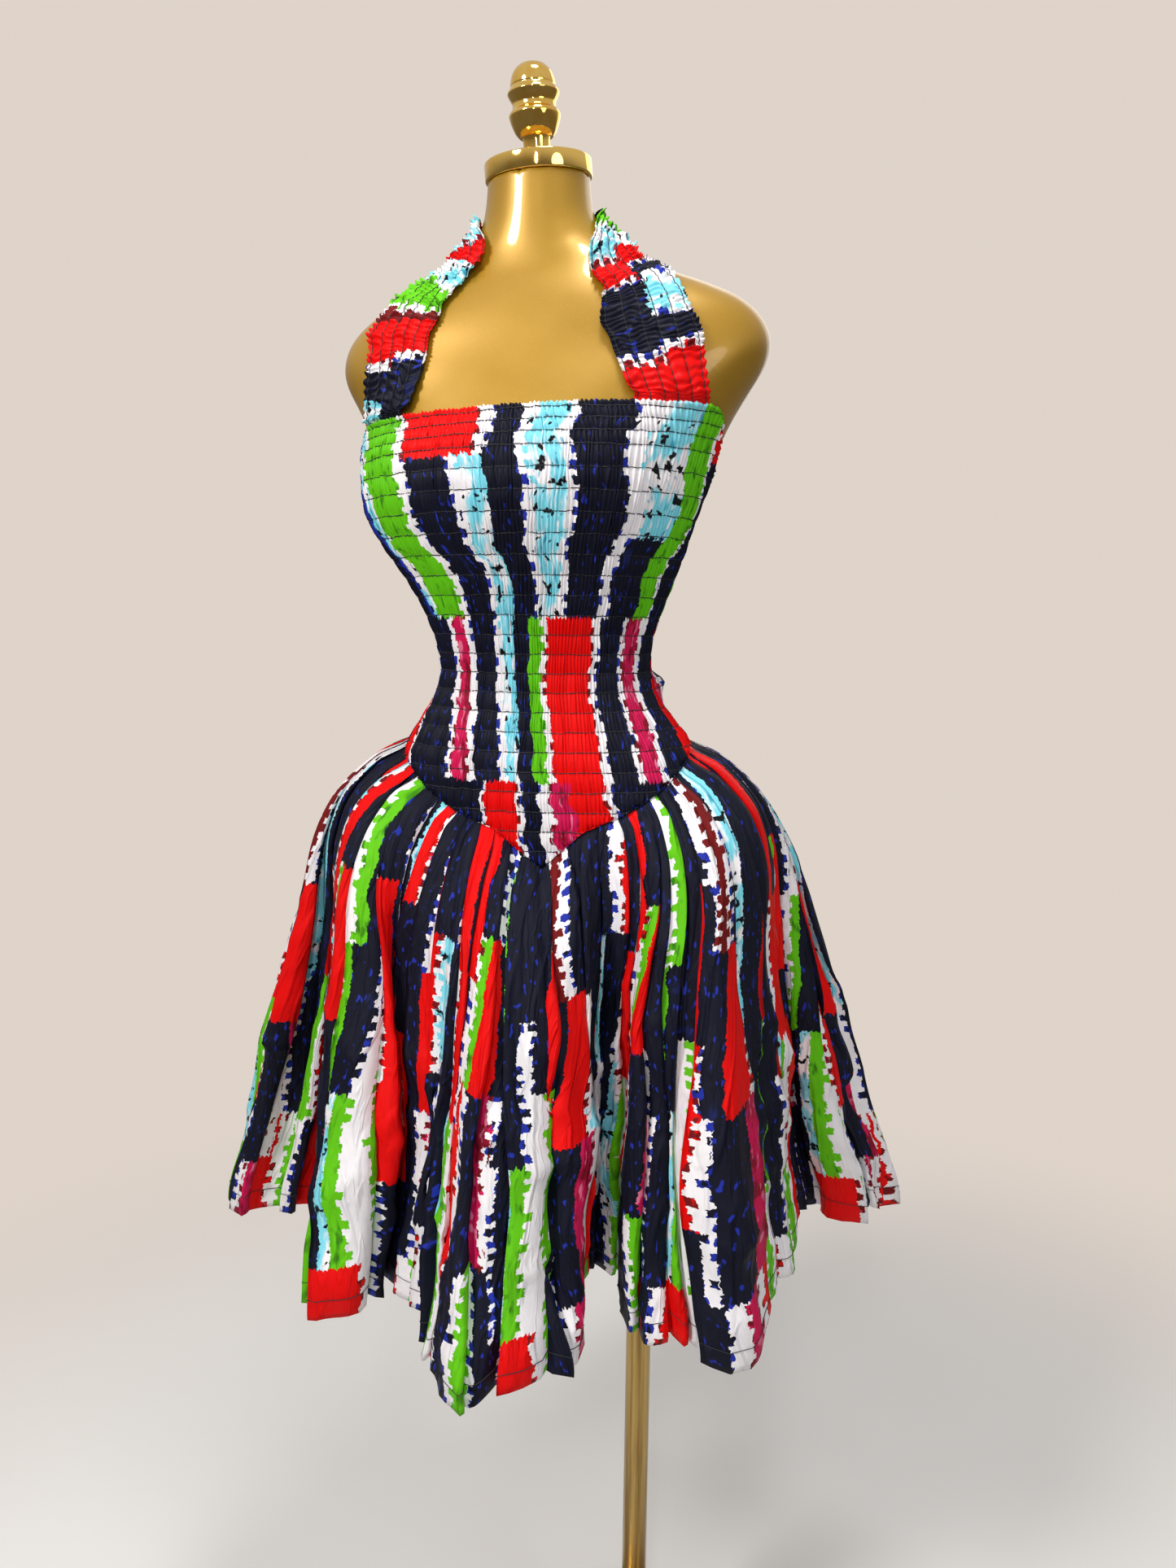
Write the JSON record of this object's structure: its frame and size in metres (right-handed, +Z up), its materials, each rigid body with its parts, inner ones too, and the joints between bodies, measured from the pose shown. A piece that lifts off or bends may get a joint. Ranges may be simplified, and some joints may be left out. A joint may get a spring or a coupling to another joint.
{
  "type": "halter mini dress on a limbless dress form",
  "caption": "Halter mini dress with a shirred bodice, pointed basque waist and full gathered skirt, worn on a glossy gold limbless dress form with a pole stand.",
  "frame": {"origin": "middle of the base plate's underside, on the pole's axis", "axes": "+Z up the pole; the dress faces -Y, and the wearer's left is towards +X"},
  "size_m": [0.7081, 0.5817, 1.6538],
  "materials": {
    "printed_cotton_shirred": "matte",
    "printed_cotton": "matte",
    "gold_paint": "gloss",
    "polished_gold": "polished",
    "aged_brass": "satin"
  },
  "bodies": {
    "root": {"bodice_front": "printed_cotton_shirred", "bodice_back": "printed_cotton_shirred", "strap_left": "printed_cotton_shirred", "strap_right": "printed_cotton_shirred", "skirt_front": "printed_cotton", "skirt_back": "printed_cotton", "form_body": "gold_paint", "neck_cap": "polished_gold", "finial": "polished_gold", "pole_socket": "polished_gold", "pole": "aged_brass", "pole_foot": "aged_brass", "base_plate": "aged_brass"}
  },
  "joints": []
}
